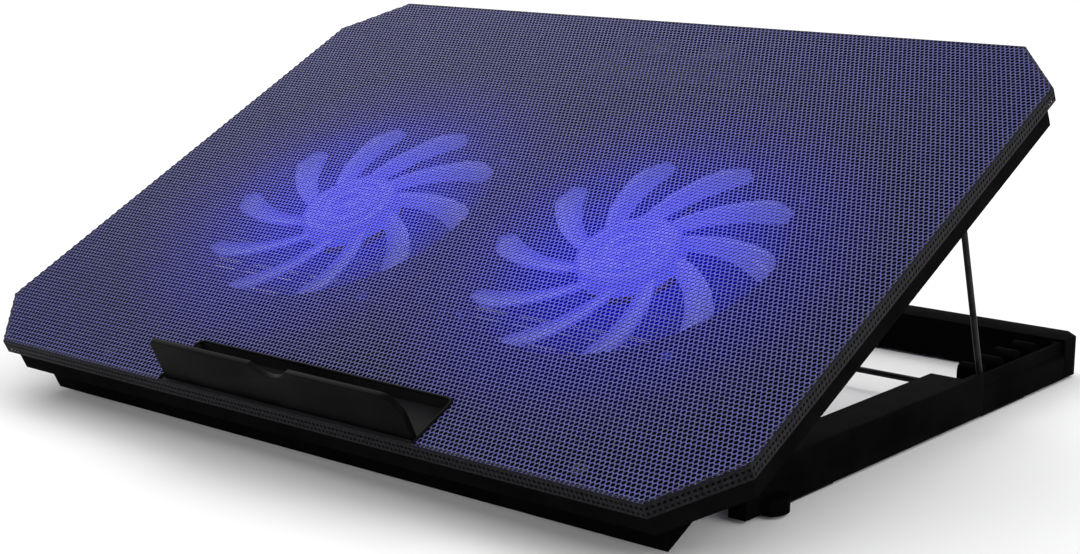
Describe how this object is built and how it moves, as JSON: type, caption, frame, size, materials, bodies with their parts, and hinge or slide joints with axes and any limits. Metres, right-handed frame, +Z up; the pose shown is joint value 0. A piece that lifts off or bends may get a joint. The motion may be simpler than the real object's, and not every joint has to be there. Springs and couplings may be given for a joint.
{
  "type": "laptop cooling pad",
  "caption": "Sloped laptop cooling pad: a perforated deck with two lit fans and a fold-up front stopper, held up by a wire stay on a low stepped base.",
  "frame": {"origin": "on the table, under the middle of the whole object's box at rest", "axes": "+X along the width to the right, +Y to the rear, +Z up"},
  "size_m": [0.37, 0.3244, 0.1462],
  "materials": {
    "black_plastic": "fine spark texture, satin",
    "mesh_metal": "perforated sheet, black paint with a blue-violet sheen",
    "flap_plastic": "satin",
    "steel": "zinc plated",
    "wire_steel": "black lacquer, worn to grey",
    "copper_core": "enamelled copper and black bobbin",
    "bush_brass": "turned",
    "blue_blades": "translucent, lit blue",
    "led_lens": "lit blue",
    "lead_rubber": "smooth jacket",
    "board_green": "solder mask",
    "knob_plastic": "ribbed",
    "foot_rubber": "matte"
  },
  "bodies": {
    "base": {"front_arm_left": "black_plastic", "front_arm_right": "black_plastic", "step_rack_left": "black_plastic", "step_rack_right": "black_plastic", "rear_bar": "black_plastic", "base_feet": "foot_rubber", "base_screws": "steel"},
    "deck": {"mesh_panel": "mesh_metal", "tray": "black_plastic", "front_rail": "black_plastic", "stopper_recess": "black_plastic", "stopper_pin": "steel", "fan_ring_left": "black_plastic", "fan_ring_right": "black_plastic", "fan_motor_left": "copper_core", "fan_motor_right": "copper_core", "fan_bush_left": "bush_brass", "fan_bush_right": "bush_brass", "blue_leds": "led_lens", "fan_leads": "lead_rubber", "power_board": "board_green", "usb_ports": "steel", "switch_housing": "steel", "fan_screws": "steel", "rail_screws": "steel", "stay_clips": "black_plastic", "hinge_pins": "steel"},
    "stopper": {"stopper_flap": "flap_plastic"},
    "fan_left": {"fan_rotor_left": "blue_blades"},
    "fan_right": {"fan_rotor_right": "blue_blades"},
    "stay": {"stay_wire": "wire_steel"},
    "switch": {"switch_knob": "knob_plastic"}
  },
  "joints": [
    {"name": "deck_tilt", "type": "hinge", "parent": "base", "child": "deck", "pos_m": [0, -0.13048, 0.01114], "axis": [1, 0, 0], "range_deg": [0, 38]},
    {"name": "stay_fold", "type": "hinge", "parent": "deck", "child": "stay", "pos_m": [0, 0.04912, 0.10762], "axis": [1, 0, 0], "range_deg": [-80.9, 0]},
    {"name": "stopper_fold", "type": "hinge", "parent": "deck", "child": "stopper", "pos_m": [0, -0.15238, 0.02352], "axis": [-1, 0, 0], "range_deg": [0, 90]},
    {"name": "fan_left_spin", "type": "hinge", "parent": "deck", "child": "fan_left", "pos_m": [-0.0725, -0.04619, 0.07301], "axis": [0, -0.4493, 0.8934], "continuous": true},
    {"name": "fan_right_spin", "type": "hinge", "parent": "deck", "child": "fan_right", "pos_m": [0.0725, -0.04619, 0.07301], "axis": [0, -0.4493, 0.8934], "continuous": true},
    {"name": "switch_slide", "type": "slide", "parent": "deck", "child": "switch", "axis": [1, 0, 0], "range_m": [0, 0.003]}
  ],
  "couplings": [
    {"joint": "stay_fold", "follows": "deck_tilt", "ratio": -2.1236}
  ]
}
